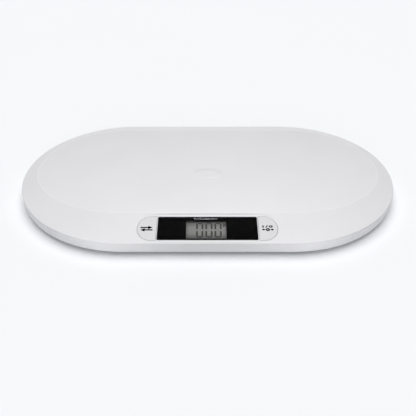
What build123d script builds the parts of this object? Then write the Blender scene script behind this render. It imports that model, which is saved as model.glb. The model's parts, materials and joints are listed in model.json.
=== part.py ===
from build123d import *
from math import atan2, cos, sin, sqrt
import os

# Animal weighing scale. Millimetres, +Z up, the floor at Z 0, the display side towards -Y.
os.makedirs("parts", exist_ok=True)


# ---------------------------------------------------------------- driving dimensions

# The plan is measured before its top edge is rounded, which takes a quarter of a millimetre off each side.
tray_length = 549.5
tray_width = 320.5
shell = 2.5

wall_bottom = 6.5
wall_top = 23.2
wall_taper = 3.5
wall_top_radius = 1.2

crest_height = 26.2
crest_land = 1.8

dish_half_length = 254.8
dish_back = 139.9
dish_front = -92.5
dish_widest = 17.0
dish_back_corner = 130.0
dish_front_corner = 134.5
dish_centre = 23.7
dish_depth = 8.2
dish_rises = [0.15, 0.8, 2.0, 3.8, 6.0]
dimple_length = 48.0
dimple_width = 28.0
dimple_depth = 0.6

window_length = 136.0
window_width = 51.2
window_thickness = 1.5
window_corner = 2.0
window_from_edge = 33.4
window_gap = 0.2
print_thickness = 0.2
tape_thickness = 0.2

view_length = 54.7
view_width = 38.7
view_centre = (-1.7, -2.3)
lcd_length = 60.0
lcd_width = 40.7
lcd_thickness = 2.4
lcd_ledge = 3.0
lcd_top = 2.1
lcd_gap = 0.3
reflector_thickness = 1.5
reflector_width = 36.2
holder_wall = 2.7
pad_depth = 3.5

panel_sink = 0.9
panel_proud = 0.25
panel_margin = 1.1
panel_backing = 2.6
panel_backing_margin = 3.6

key_flat = 69.6
key_middle = 75.6
key_reach = 20.0
key_half_width = 26.9
key_gap = 0.4
key_skin = 1.6
key_wall = 1.8
key_flange = 1.2
key_flange_top = 2.9
key_flange_bottom = 3.9
key_post_radius = 3.0

switch_x = 82.0
switch_size = 6.2
switch_height = 2.6
plunger_radius = 1.6
plunger_top = 4.5
plunger_bottom = 7.4
dome_radius = 1.5
dome_crown = 0.7
dome_thickness = 0.12

board_length = 196.0
board_width = 44.0
board_thickness = 1.6
board_depth = 8.0
board_screws_x = 50.0
board_screws_y = 17.0
header_height = 4.0

base_bottom = 5.0
base_floor = 2.0
base_inset = 6.4
base_rim_top = 11.0
base_rim = 1.6
rib_height = 2.4
rib_thickness = 1.4
long_ribs = [-58, -20, 20, 58]
cross_ribs = [-150, -100, -50, 0, 50, 100, 150]

foot_x = 185.0
foot_y = 88.0
foot_radius = 17.0
foot_stem_radius = 4.0
foot_pad_radius = 15.0
foot_pad_height = 2.6
foot_cup_bottom = 1.6
foot_well_radius = 18.4

cell_size = 34.0
cell_thickness = 2.2
cell_bottom = 10.0
cell_slot = 1.6
cell_tongue_half = 7.0
bracket_size = 41.0
bracket_top = 14.6
bracket_window = 13.0
ear_x = 26.0
ear_top = 12.4
ear_boss_radius = 3.6

rim_screws = [(128, -128), (-128, -128), (245, 0), (-245, 0), (128, 128), (-128, 128)]
dish_screws = [(70, 10), (-70, 10)]
boss_meeting_height = 10.5
case_screw_radius = 1.4
case_screw_head = 3.2
case_screw_seat = 8.0
case_screw_tip = 15.4

battery_radius = 5.25
battery_body = 43.7
battery_nub = 0.8
battery_pitch = 11.4
battery_height = 12.45
bay_length = 49.2
bay_width = 23.6
bay_y = 114.0
bay_wall = 1.4
bay_ceiling = 17.9
bay_roof = 18.7
contact_thickness = 0.4
contact_size = 9.0
spring_radius = 3.2
spring_wire = 0.35

door_length = 58.0
door_width = 31.0
door_thickness = 1.8
door_gap = 0.4
door_axis_height = 6.1
door_barrel = 1.0
door_pin = 0.6
door_pin_length = 2.2
door_recess_top = 7.4
door_frame_top = 8.6

lead_radius = 0.9
lead_bend = 8.0
lead_height = 11.1


# ---------------------------------------------------------------- derived places

base_top = base_bottom + base_floor
dish_bottom = crest_height - dish_depth
corners = [("front_left", -1, -1), ("front_right", 1, -1), ("back_left", -1, 1), ("back_right", 1, 1)]
sides = [("unit", -1), ("tare", 1)]
key_edge = key_gap + key_flange
panel_half_width = key_half_width + panel_margin
print_top = window_thickness
tape_top = print_top + print_thickness
pocket_depth = tape_top + tape_thickness
lcd_bottom = lcd_top + lcd_thickness
reflector_bottom = lcd_bottom + reflector_thickness
board_bottom = board_depth + board_thickness
bay_half = bay_length / 2
door_axis_y = bay_y - door_width / 2 + door_barrel
door_far_y = bay_y + door_width / 2

# The front deck is the flat part of the rim. A stadium-shaped panel, a little less steep than the deck,
# is set into it: sunk at the back, slightly proud at the front. Its plane starts at the window's centre,
# with local Y uphill.
deck_run = dish_front - crest_land + tray_width / 2
deck_slope = (crest_height - wall_top) / deck_run
panel_slope = deck_slope - (panel_sink + panel_proud) / (2 * panel_half_width)
panel_angle = atan2(panel_slope, 1)
panel_height = wall_top + deck_slope * window_from_edge - (panel_sink - panel_proud) / 2
panel = Plane(
    origin=(0, window_from_edge - tray_width / 2, panel_height),
    x_dir=(1, 0, 0),
    z_dir=(0, -sin(panel_angle), cos(panel_angle)),
)


def save(builder, name):
    """Label a finished piece and write it."""
    builder.part.label = name
    export_step(builder.part, f"parts/{name}.step")


def under_panel(depth):
    """A plane parallel to the panel, this far below it."""
    return panel.offset(-depth)


def level(height):
    """A horizontal plane at this height above the floor."""
    return Plane.XY.offset(height)


def across(x, y, z):
    """An upright plane that faces along +X from this point."""
    return Plane((x, y, z), x_dir=(0, 1, 0), z_dir=(1, 0, 0))


def foot_level(side_x, side_y, height):
    """A horizontal plane centred over one foot."""
    return Plane((side_x * foot_x, side_y * foot_y, height))


# ---------------------------------------------------------------- outlines

def oval(half_x, back, front, widest, back_corner, front_corner):
    """Two straights, front and back, joined by four elliptical quarters that meet at the widest line."""
    with BuildLine() as outline:
        Line((front_corner - half_x, front), (half_x - front_corner, front))
        EllipticalCenterArc((half_x - front_corner, widest), front_corner, widest - front, -90, arc_size=90)
        EllipticalCenterArc((half_x - back_corner, widest), back_corner, back - widest, 0, arc_size=90)
        Line((half_x - back_corner, back), (back_corner - half_x, back))
        EllipticalCenterArc((back_corner - half_x, widest), back_corner, back - widest, 90, arc_size=90)
        EllipticalCenterArc((front_corner - half_x, widest), front_corner, widest - front, 180, arc_size=90)
    return outline.edges()


def stadium(inset):
    """The tray's plan, a straight-sided oval, drawn in by this much all round."""
    radius = tray_width / 2 - inset
    return oval(tray_length / 2 - inset, radius, -radius, 0, radius, radius)


def dish_outline(scale, grow=0):
    """The dish's plan, scaled about its lowest point, then grown all round."""
    return oval(
        dish_half_length * scale + grow,
        dish_centre + (dish_back - dish_centre) * scale + grow,
        dish_centre + (dish_front - dish_centre) * scale - grow,
        dish_centre + (dish_widest - dish_centre) * scale,
        dish_back_corner * scale + grow,
        dish_front_corner * scale + grow,
    )


def dish_scale(rise):
    """The dish is a paraboloid: how large its plan is at this rise above its lowest point."""
    return sqrt(rise / dish_depth)


def key_plan(side, gap):
    """A D-shaped key's plan, flat towards the window, with its edge moved out by gap."""
    flat = side * (key_flat - gap)
    half_width = side * (key_half_width + gap)
    with BuildLine() as outline:
        end = key_end(side, gap)
        Polyline(end @ 1, (flat, half_width), (flat, -half_width), end @ 0)
    return outline.edges()


def key_end(side, gap):
    """Half of an ellipse: a key's rounded end, moved out by gap."""
    centre = (side * key_middle, 0)
    return EllipticalCenterArc(centre, key_reach + gap, key_half_width + gap, -90 * side, arc_size=180)


def panel_plan(margin):
    """The plan of the panel around both keys, this far outside them."""
    with BuildLine() as outline:
        right = key_end(1, margin)
        left = key_end(-1, margin)
        Line(right @ 1, left @ 0)
        Line(left @ 1, right @ 0)
    return outline.edges()


# ---------------------------------------------------------------- top tray

with BuildPart() as top_tray:
    # side wall, tapering in towards the floor
    for height, inset in ((wall_bottom, wall_taper), (wall_top, 0)):
        with BuildSketch(level(height)):
            make_face(stadium(inset))
    loft(ruled=True)
    # rim, from the wall up to the crest
    with BuildSketch(level(wall_top)):
        make_face(stadium(0))
    with BuildSketch(level(crest_height)):
        make_face(dish_outline(1, crest_land))
    loft(ruled=True)
    fillet(top_tray.edges().filter_by_position(Axis.Z, wall_top - 0.01, wall_top + 0.01), wall_top_radius)

    # hollow inside the wall, then under the rim
    hollow_step = wall_top - shell + 0.2
    hollow_inset = shell + 0.5
    for height, inset in ((wall_bottom, wall_taper + shell), (hollow_step, hollow_inset)):
        with BuildSketch(level(height)):
            make_face(stadium(inset))
    loft(ruled=True, mode=Mode.SUBTRACT)
    with BuildSketch(level(hollow_step)):
        make_face(stadium(hollow_inset))
    with BuildSketch(level(crest_height - shell)):
        make_face(dish_outline(1, 0.5))
    loft(ruled=True, mode=Mode.SUBTRACT)

    # dish: its underside is filled in, then its hollow is taken out
    for rise in dish_rises + [dish_depth + 0.2]:
        with BuildSketch(level(dish_bottom + rise - shell)):
            make_face(dish_outline(dish_scale(rise)))
    loft()
    for rise in dish_rises + [dish_depth + 0.3]:
        with BuildSketch(level(dish_bottom + rise)):
            make_face(dish_outline(dish_scale(rise)))
    loft(mode=Mode.SUBTRACT)
    with BuildSketch(Plane((0, dish_centre, dish_bottom + dish_rises[0]))):
        Ellipse(dimple_length / 2, dimple_width / 2)
    extrude(amount=-dimple_depth, mode=Mode.SUBTRACT)

    # panel around the window and the keys, and the thicker backing under it
    with BuildSketch(panel):
        make_face(panel_plan(panel_margin))
    extrude(amount=-panel_backing / 2)
    with BuildSketch(panel):
        make_face(panel_plan(panel_margin))
    extrude(amount=2 * panel_sink, mode=Mode.SUBTRACT)
    with BuildSketch(under_panel(panel_backing / 2)):
        make_face(panel_plan(panel_backing_margin))
    extrude(amount=-panel_backing / 2)
    # pad under the window, with posts for the board
    with BuildSketch(under_panel(panel_backing / 2)):
        Rectangle(window_length - 2, window_width + 6)
    extrude(amount=panel_backing / 2 - pad_depth)
    with BuildSketch(under_panel(pad_depth)):
        with GridLocations(2 * board_screws_x, 2 * board_screws_y, 2, 2):
            Circle(3.0)
    extrude(amount=pad_depth - board_depth)
    with BuildSketch(under_panel(board_depth)):
        with GridLocations(2 * board_screws_x, 2 * board_screws_y, 2, 2):
            Circle(0.95)
    extrude(amount=board_depth - pad_depth, mode=Mode.SUBTRACT)

    # window pocket, opening for the display, two D-shaped key openings
    with BuildSketch(panel):
        RectangleRounded(window_length + 2 * window_gap, window_width + 2 * window_gap, window_corner)
    extrude(amount=-pocket_depth, mode=Mode.SUBTRACT)
    with BuildSketch(panel):
        with Locations(view_centre):
            Rectangle(lcd_length + 2 * lcd_gap, lcd_width + 2 * lcd_gap)
    extrude(amount=-2 * shell, mode=Mode.SUBTRACT)
    for name, side in sides:
        with BuildSketch(panel):
            make_face(key_plan(side, key_gap))
        extrude(amount=-2 * shell, mode=Mode.SUBTRACT)

    # bosses for the case screws
    for places, top in ((rim_screws, wall_top), (dish_screws, dish_bottom - 0.8)):
        with BuildSketch(level(boss_meeting_height)):
            with Locations(*places):
                Circle(4.0)
        extrude(amount=top - boss_meeting_height)
    with BuildSketch(level(boss_meeting_height)):
        with Locations(*rim_screws, *dish_screws):
            Circle(case_screw_radius + 0.05)
    extrude(amount=case_screw_tip + 0.4 - boss_meeting_height, mode=Mode.SUBTRACT)
save(top_tray, "top_tray")


# ---------------------------------------------------------------- display group

def window_sheet(name, top, thickness, opening):
    """One layer of the window, with an opening of this size over the display, or none."""
    with BuildPart() as sheet:
        with BuildSketch(under_panel(top)):
            RectangleRounded(window_length, window_width, window_corner)
            if opening:
                with Locations(view_centre):
                    Rectangle(*opening, mode=Mode.SUBTRACT)
        extrude(amount=-thickness)
    save(sheet, name)


window_sheet("display_window", 0, window_thickness, None)
window_sheet("window_print", print_top, print_thickness, (view_length, view_width))
window_sheet("window_tape", tape_top, tape_thickness, (lcd_length + 2 * lcd_gap, lcd_width + 2 * lcd_gap))

with BuildPart() as lcd_panel:
    # front glass, and the rear glass with the ledge that carries its contacts
    with BuildSketch(under_panel(lcd_top)):
        with Locations((view_centre[0], view_centre[1] - lcd_ledge / 2)):
            Rectangle(lcd_length, lcd_width - lcd_ledge)
    extrude(amount=-lcd_thickness / 2)
    with BuildSketch(under_panel(lcd_top + lcd_thickness / 2)):
        with Locations(view_centre):
            Rectangle(lcd_length, lcd_width)
    extrude(amount=-lcd_thickness / 2)
save(lcd_panel, "lcd_panel")

with BuildPart() as lcd_reflector:
    with BuildSketch(under_panel(lcd_bottom)):
        with Locations((view_centre[0], view_centre[1] - (lcd_width - reflector_width) / 2)):
            Rectangle(lcd_length, reflector_width)
    extrude(amount=-reflector_thickness)
save(lcd_reflector, "lcd_reflector")

zebra_y = view_centre[1] + lcd_width / 2 - 2.0

with BuildPart() as zebra_strip:
    with BuildSketch(under_panel(lcd_bottom)):
        with Locations((view_centre[0], zebra_y)):
            Rectangle(52.0, 2.0)
    extrude(amount=lcd_bottom - board_depth)
save(zebra_strip, "zebra_strip")

with BuildPart() as lcd_holder:
    # frame around the display, standing on the board
    with BuildSketch(under_panel(pad_depth + 0.1)):
        with Locations(view_centre):
            Rectangle(lcd_length + 2 * holder_wall, lcd_width + 2 * holder_wall)
    extrude(amount=pad_depth + 0.1 - board_depth)
    with BuildSketch(under_panel(pad_depth)):
        with Locations(view_centre):
            Rectangle(lcd_length + 2 * lcd_gap, lcd_width + 2 * lcd_gap)
    extrude(amount=pad_depth - reflector_bottom, mode=Mode.SUBTRACT)
    with BuildSketch(under_panel(reflector_bottom - 0.1)):
        with Locations((view_centre[0], view_centre[1] - 3.0)):
            Rectangle(50.0, 28.0)
        with Locations((view_centre[0], zebra_y)):
            Rectangle(52.6, 2.6)
    extrude(amount=reflector_bottom - 0.1 - board_depth, mode=Mode.SUBTRACT)
save(lcd_holder, "lcd_holder")


# ---------------------------------------------------------------- board

with BuildPart() as main_board:
    with BuildSketch(under_panel(board_depth)):
        RectangleRounded(board_length, board_width, 2.0)
        with GridLocations(2 * board_screws_x, 2 * board_screws_y, 2, 2):
            Circle(1.3, mode=Mode.SUBTRACT)
    extrude(amount=-board_thickness)
save(main_board, "main_board")

with BuildPart() as board_screws:
    with BuildSketch(under_panel(board_bottom)):
        with GridLocations(2 * board_screws_x, 2 * board_screws_y, 2, 2):
            Circle(1.9)
    extrude(amount=-1.3)
    with BuildSketch(under_panel(board_bottom)):
        with GridLocations(2 * board_screws_x, 2 * board_screws_y, 2, 2):
            Circle(0.9)
    extrude(amount=board_bottom - pad_depth - 1.0)
    with BuildSketch(under_panel(board_bottom + 1.3)):
        with GridLocations(2 * board_screws_x, 2 * board_screws_y, 2, 2):
            Rectangle(2.4, 0.5)
            Rectangle(0.5, 2.4)
    extrude(amount=0.6, mode=Mode.SUBTRACT)
save(board_screws, "board_screws")

with BuildPart() as processor:
    with BuildSketch(under_panel(board_bottom)):
        with Locations((24, -4)):
            RectangleRounded(14, 14, 0.6)
    extrude(amount=-1.5)
save(processor, "processor")

with BuildPart() as board_parts:
    # converter, memory and regulator packages, then two capacitors and the crystal can
    with BuildSketch(under_panel(board_bottom)):
        with Locations((0, -8), (-24, -4)):
            Rectangle(5.0, 6.2)
        with Locations((-36, 4)):
            Rectangle(6.5, 3.6)
        with GridLocations(4.0, 12.0, 4, 2):
            Rectangle(1.0, 2.0)
    extrude(amount=-1.4)
    with BuildSketch(under_panel(board_bottom)):
        with Locations((-84, -14), (84, -14)):
            Circle(2.5)
    extrude(amount=-4.0)
    with BuildSketch(under_panel(board_bottom)):
        with Locations((36, 12)):
            SlotOverall(10.0, 4.2)
    extrude(amount=-3.2)
save(board_parts, "board_parts")

header_places = [(-62, 8), (0, 12), (62, 8)]
header_half = 7.0

with BuildPart() as wire_headers:
    with BuildSketch(under_panel(board_bottom)):
        with Locations(*header_places):
            Rectangle(2 * header_half, 9.0)
    extrude(amount=-header_height)
save(wire_headers, "wire_headers")


# ---------------------------------------------------------------- keys and their switches

for name, side in sides:
    with BuildPart() as key:
        with BuildSketch(panel):
            make_face(key_plan(side, 0))
        extrude(amount=-key_flange_bottom)
        chamfer(key.faces().sort_by(Axis.Z)[-1].edges(), 0.4)
        with BuildSketch(under_panel(key_flange_top)):
            make_face(key_plan(side, key_edge))
        extrude(amount=key_flange_top - key_flange_bottom)
        with BuildSketch(under_panel(key_flange_bottom)):
            make_face(key_plan(side, -key_wall))
        extrude(amount=key_flange_bottom - key_skin, mode=Mode.SUBTRACT)
        with BuildSketch(under_panel(key_skin)):
            with Locations((side * switch_x, 0)):
                Circle(key_post_radius)
        extrude(amount=key_skin - plunger_top)
    save(key, f"{name}_key")

    with BuildPart() as switch:
        with BuildSketch(under_panel(board_depth)):
            with Locations((side * switch_x, 0)):
                Rectangle(switch_size, switch_size)
                Circle(plunger_radius + 0.08, mode=Mode.SUBTRACT)
        extrude(amount=switch_height)
    save(switch, f"{name}_switch")

    with BuildPart() as plunger:
        with BuildSketch(under_panel(plunger_top)):
            with Locations((side * switch_x, 0)):
                Circle(plunger_radius)
        extrude(amount=plunger_top - plunger_bottom)
    save(plunger, f"{name}_switch_plunger")

    dome_plane = Plane(
        origin=under_panel(board_depth).from_local_coords((side * switch_x, 0, 0)),
        x_dir=(1, 0, 0),
        z_dir=(0, -cos(panel_angle), -sin(panel_angle)),
    )
    dome_rise = board_depth - plunger_bottom
    with BuildPart() as dome:
        with BuildSketch(dome_plane):
            with BuildLine():
                Polyline(
                    (0, dome_rise),
                    (dome_crown, dome_rise),
                    (dome_radius, 0),
                    (dome_radius - dome_thickness, 0),
                    (dome_crown - dome_thickness / 2, dome_rise - dome_thickness),
                    (0, dome_rise - dome_thickness),
                    close=True,
                )
            make_face()
        revolve(axis=Axis(dome_plane.origin, dome_plane.y_dir))
    save(dome, f"{name}_switch_dome")


# ---------------------------------------------------------------- base cover

with BuildPart() as base_cover:
    # floor pan and its rim
    with BuildSketch(level(base_bottom)):
        make_face(stadium(base_inset))
    extrude(amount=base_floor)
    fillet(base_cover.faces().sort_by(Axis.Z)[0].edges(), 0.8)
    with BuildSketch(level(base_top)):
        make_face(stadium(base_inset))
        make_face(stadium(base_inset + base_rim), mode=Mode.SUBTRACT)
    extrude(amount=base_rim_top - base_top)

    # ribs
    with BuildSketch(level(base_top)):
        for rib_y in long_ribs:
            with Locations((0, rib_y)):
                Rectangle(2 * (foot_x + 45), rib_thickness)
        for rib_x in cross_ribs:
            with Locations((rib_x, -3)):
                Rectangle(rib_thickness, 190)
    extrude(amount=rib_height)

    # foot wells with the seats of the load cells, and the bosses of their brackets
    for name, side_x, side_y in corners:
        with BuildSketch(foot_level(side_x, side_y, base_top)):
            Rectangle(bracket_size, bracket_size)
        extrude(amount=cell_bottom - base_top)
        with BuildSketch(foot_level(side_x, side_y, base_top)):
            with GridLocations(2 * ear_x, 0, 2, 1):
                Circle(ear_boss_radius)
        extrude(amount=cell_bottom - base_top)
        with BuildSketch(foot_level(side_x, side_y, base_bottom)):
            Circle(foot_well_radius)
        extrude(amount=cell_bottom - base_bottom, mode=Mode.SUBTRACT)
        with BuildSketch(foot_level(side_x, side_y, cell_bottom)):
            with GridLocations(2 * ear_x, 0, 2, 1):
                Circle(1.05)
        extrude(amount=-2.6, mode=Mode.SUBTRACT)

    # bosses for the case screws, counterbored from below
    with BuildSketch(level(base_bottom)):
        with Locations(*rim_screws, *dish_screws):
            Circle(5.5)
    extrude(amount=boss_meeting_height - base_bottom)
    with BuildSketch(level(base_bottom)):
        with Locations(*rim_screws, *dish_screws):
            Circle(case_screw_head + 0.4)
    extrude(amount=case_screw_seat - base_bottom, mode=Mode.SUBTRACT)
    with BuildSketch(level(case_screw_seat)):
        with Locations(*rim_screws, *dish_screws):
            Circle(case_screw_radius + 0.3)
    extrude(amount=boss_meeting_height - case_screw_seat, mode=Mode.SUBTRACT)

    # battery bay: door frame, walls and roof, then the recess, the hollow and the pin sockets
    recess_length = door_length + 2 * door_gap
    recess_front = door_axis_y - 1.5
    recess_back = door_far_y + door_gap
    recess_y = (recess_front + recess_back) / 2
    with BuildSketch(Plane((0, recess_y, base_bottom))):
        Rectangle(recess_length + 6.4, recess_back - recess_front + 4.0)
    extrude(amount=door_frame_top - base_bottom)
    with BuildSketch(Plane((0, bay_y, base_top))):
        Rectangle(bay_length + 2 * bay_wall, bay_width + 2 * bay_wall)
    extrude(amount=bay_roof - base_top)
    with BuildSketch(Plane((0, recess_y, base_bottom))):
        Rectangle(recess_length, recess_back - recess_front)
    extrude(amount=door_recess_top - base_bottom, mode=Mode.SUBTRACT)
    with BuildSketch(Plane((0, bay_y, base_bottom))):
        Rectangle(bay_length, bay_width)
    extrude(amount=bay_ceiling - base_bottom, mode=Mode.SUBTRACT)
    socket_reach = door_length / 2 + door_pin_length + 0.3
    with BuildSketch(across(-socket_reach, door_axis_y, door_axis_height)):
        Circle(door_pin + 0.06)
    extrude(amount=2 * socket_reach, mode=Mode.SUBTRACT)
    # thumb scoop beside the door's free edge
    with BuildSketch(Plane((0, recess_back, base_bottom))):
        with Locations((0, 1.0)):
            Ellipse(9.0, 4.0)
    extrude(amount=1.1, mode=Mode.SUBTRACT)
save(base_cover, "base_cover")

with BuildPart() as case_screws:
    with BuildSketch(level(case_screw_seat - 1.8)):
        with Locations(*rim_screws, *dish_screws):
            Circle(case_screw_head)
    extrude(amount=1.8)
    with BuildSketch(level(case_screw_seat)):
        with Locations(*rim_screws, *dish_screws):
            Circle(case_screw_radius)
    extrude(amount=case_screw_tip - case_screw_seat)
    with BuildSketch(level(case_screw_seat - 1.8)):
        with Locations(*rim_screws, *dish_screws):
            Rectangle(3.8, 0.8)
            Rectangle(0.8, 3.8)
    extrude(amount=1.0, mode=Mode.SUBTRACT)
save(case_screws, "case_screws")


# ---------------------------------------------------------------- feet and load cells

for name, side_x, side_y in corners:
    with BuildPart() as foot_cup:
        with BuildSketch(foot_level(side_x, side_y, foot_cup_bottom)):
            Circle(foot_radius)
        extrude(amount=3.0)
        fillet(foot_cup.faces().sort_by(Axis.Z)[0].edges(), 0.8)
        with BuildSketch(foot_level(side_x, side_y, foot_cup_bottom + 3.0)):
            Circle(8.0)
        extrude(amount=3.4)
        with BuildSketch(foot_level(side_x, side_y, foot_cup_bottom + 6.4)):
            Circle(foot_stem_radius)
        extrude(amount=cell_bottom - foot_cup_bottom - 6.4)
        with BuildSketch(foot_level(side_x, side_y, foot_cup_bottom)):
            Circle(foot_pad_radius)
        extrude(amount=foot_pad_height - foot_cup_bottom, mode=Mode.SUBTRACT)
    save(foot_cup, f"foot_cup_{name}")

    with BuildPart() as foot_pad:
        with BuildSketch(foot_level(side_x, side_y, 0)):
            Circle(foot_pad_radius)
        extrude(amount=foot_pad_height)
        fillet(foot_pad.faces().sort_by(Axis.Z)[0].edges(), 0.6)
    save(foot_pad, f"foot_pad_{name}")

    with BuildPart() as load_cell:
        # square plate whose middle tongue, freed by a U-shaped slot, bends when the foot's stem lifts it
        with BuildSketch(foot_level(side_x, side_y, cell_bottom)):
            RectangleRounded(cell_size, cell_size, 3.0)
            with GridLocations(2 * cell_tongue_half + cell_slot, 0, 2, 1):
                with Locations((0, -1)):
                    Rectangle(cell_slot, 21.0, mode=Mode.SUBTRACT)
            with Locations((0, -11.5)):
                Rectangle(2 * (cell_tongue_half + cell_slot), cell_slot, mode=Mode.SUBTRACT)
        extrude(amount=cell_thickness)
    save(load_cell, f"load_cell_{name}")

    with BuildPart() as bracket:
        with BuildSketch(foot_level(side_x, side_y, cell_bottom)):
            RectangleRounded(bracket_size, bracket_size, 3.0)
        extrude(amount=bracket_top - cell_bottom)
        with BuildSketch(foot_level(side_x, side_y, cell_bottom)):
            with GridLocations(2 * ear_x, 0, 2, 1):
                RectangleRounded(13.0, 10.0, 2.0)
        extrude(amount=ear_top - cell_bottom)
        with BuildSketch(foot_level(side_x, side_y, cell_bottom)):
            Rectangle(cell_size + 0.4, cell_size + 0.4)
        extrude(amount=cell_thickness, mode=Mode.SUBTRACT)
        with BuildSketch(foot_level(side_x, side_y, cell_bottom)):
            Circle(bracket_window)
        extrude(amount=bracket_top - cell_bottom, mode=Mode.SUBTRACT)
        with BuildSketch(foot_level(side_x, side_y, cell_bottom)):
            with GridLocations(2 * ear_x, 0, 2, 1):
                Circle(1.25)
        extrude(amount=bracket_top - cell_bottom, mode=Mode.SUBTRACT)
        # slot through which the lead leaves, towards the middle of the scale, clear of the screw
        with BuildSketch(foot_level(side_x, side_y, cell_bottom)):
            with Locations((-side_x * bracket_size / 2, -side_y * 9.0)):
                Rectangle(9.0, 2.4)
        extrude(amount=cell_thickness, mode=Mode.SUBTRACT)
    save(bracket, f"cell_bracket_{name}")

with BuildPart() as strain_gauges:
    for name, side_x, side_y in corners:
        with BuildSketch(foot_level(side_x, side_y, cell_bottom + cell_thickness)):
            with Locations((0, 6.0)):
                with GridLocations(5.0, 0, 2, 1):
                    Rectangle(3.2, 5.0)
        extrude(amount=0.2)
save(strain_gauges, "strain_gauges")

with BuildPart() as bracket_screws:
    for name, side_x, side_y in corners:
        with BuildSketch(foot_level(side_x, side_y, ear_top)):
            with GridLocations(2 * ear_x, 0, 2, 1):
                Circle(2.1)
        extrude(amount=1.5)
        with BuildSketch(foot_level(side_x, side_y, ear_top)):
            with GridLocations(2 * ear_x, 0, 2, 1):
                Circle(1.0)
        extrude(amount=-4.6)
        with BuildSketch(foot_level(side_x, side_y, ear_top + 1.5)):
            with GridLocations(2 * ear_x, 0, 2, 1):
                Rectangle(2.6, 0.6)
                Rectangle(0.6, 2.6)
        extrude(amount=-0.8, mode=Mode.SUBTRACT)
save(bracket_screws, "bracket_screws")


# ---------------------------------------------------------------- battery bay

with BuildPart() as battery_door:
    # plate, its barrel edge and the two pins it swings on
    with BuildSketch(Plane((0, (door_axis_y + door_far_y) / 2, base_bottom))):
        Rectangle(door_length, door_far_y - door_axis_y)
        for slot_x in (-6.0, 6.0):
            with Locations((slot_x, (door_far_y - door_axis_y) / 2 - 3.5)):
                Rectangle(0.8, 7.0, mode=Mode.SUBTRACT)
    extrude(amount=door_thickness)
    with BuildSketch(across(-door_length / 2, door_axis_y, door_axis_height)):
        Circle(door_barrel)
    extrude(amount=door_length)
    pin_reach = door_length / 2 + door_pin_length
    with BuildSketch(across(-pin_reach, door_axis_y, door_axis_height)):
        Circle(door_pin)
    extrude(amount=2 * pin_reach)
    # grip ridges by the free edge
    with BuildSketch(Plane((0, door_far_y - 4.0, base_bottom))):
        with GridLocations(0, 1.6, 1, 4):
            Rectangle(9.0, 0.6)
    extrude(amount=0.35, mode=Mode.SUBTRACT)
save(battery_door, "battery_door")

contact_face = bay_half - 0.1 - contact_thickness
cells = [("battery_front", -1, 1), ("battery_back", 1, -1)]

for name, row, way in cells:
    cell_y = bay_y + row * battery_pitch / 2
    nub_end = way * contact_face
    with BuildPart() as battery:
        with BuildSketch(Plane((nub_end, cell_y, battery_height), x_dir=(0, 1, 0), z_dir=(-way, 0, 0))):
            Circle(1.9)
        extrude(amount=battery_nub)
        shoulder = Plane(
            (nub_end - way * battery_nub, cell_y, battery_height), x_dir=(0, 1, 0), z_dir=(-way, 0, 0)
        )
        with BuildSketch(shoulder):
            Circle(battery_radius)
        extrude(amount=battery_body)
        fillet(battery.edges().filter_by(GeomType.CIRCLE).filter_by(lambda edge: edge.radius > 5), 0.5)
    save(battery, name)

with BuildPart() as contact_plates:
    # one bridge joins the two cells at one end, and a single plate serves each at the other
    with BuildSketch(across(contact_face, bay_y, battery_height)):
        Rectangle(battery_pitch + contact_size, contact_size)
    extrude(amount=contact_thickness)
    with BuildSketch(Plane((-contact_face, bay_y, battery_height), x_dir=(0, 1, 0), z_dir=(-1, 0, 0))):
        with GridLocations(battery_pitch, 0, 2, 1):
            Rectangle(contact_size, contact_size)
    extrude(amount=contact_thickness)
save(contact_plates, "contact_plates")

spring_gap = 2 * contact_face - battery_body - battery_nub
spring_turns = 3

with BuildPart() as contact_springs:
    spring_face = contact_face - spring_wire - 0.05
    for name, row, way in cells:
        with BuildLine() as coil:
            Helix(
                pitch=(spring_gap - 2 * spring_wire - 0.1) / spring_turns,
                height=spring_gap - 2 * spring_wire - 0.1,
                radius=spring_radius,
                center=(-way * spring_face, bay_y + row * battery_pitch / 2, battery_height),
                direction=(way, 0, 0),
            )
        with BuildSketch(Plane(origin=coil.line @ 0, z_dir=coil.line % 0)):
            Circle(spring_wire)
        sweep(path=coil.line)
save(contact_springs, "contact_springs")


# ---------------------------------------------------------------- leads

def lead_tube(points):
    """A round lead along straight runs joined by tangent arcs."""
    with BuildPart() as tube:
        with BuildLine() as route:
            FilletPolyline(*points, radius=lead_bend)
        with BuildSketch(Plane(origin=route.line @ 0, z_dir=route.line % 0)):
            Circle(lead_radius)
        sweep(path=route.line)
    return tube


header_y = panel.from_local_coords((0, header_places[0][1], 0)).Y
bay_header_y = panel.from_local_coords((0, header_places[1][1], 0)).Y
header_side = 62 + header_half
header_z = 12.4

for name, side_x, side_y in corners:
    cell_edge = foot_x - cell_size / 2 - 0.2
    exit_y = side_y * (foot_y - 9.0)
    if side_y < 0:
        middle = [(132, -96, lead_height), (104, header_y - 4, header_z - 0.4)]
        entry_y = header_y - 2.4
    else:
        middle = [(122, 52, lead_height), (108, -10, lead_height), (108, -70, lead_height)]
        middle.append((98, header_y + 6, header_z))
        entry_y = header_y + 2.4
    points = [(cell_edge, exit_y, lead_height), (148, exit_y - 0.5 * side_y, lead_height)]
    points += middle + [(82, entry_y, header_z), (header_side, entry_y, header_z)]
    tube = lead_tube([(side_x * x, y, z) for x, y, z in points])
    save(tube, f"cell_lead_{name}")

with BuildPart() as battery_leads:
    for side in (-1, 1):
        points = [
            (side * (bay_half + bay_wall), 108, 13.0),
            (side * 35, 108, 13.0),
            (side * 44, 70, lead_height),
            (side * 36, 0, lead_height),
            (side * 30, -80, lead_height),
            (side * 20, bay_header_y, header_z),
            (side * header_half, bay_header_y, header_z),
        ]
        add(lead_tube(points).part)
save(battery_leads, "battery_leads")
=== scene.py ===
import json
from math import cos, pi, radians, sin

import bpy
import numpy as np
from mathutils import Matrix, Vector


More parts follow.
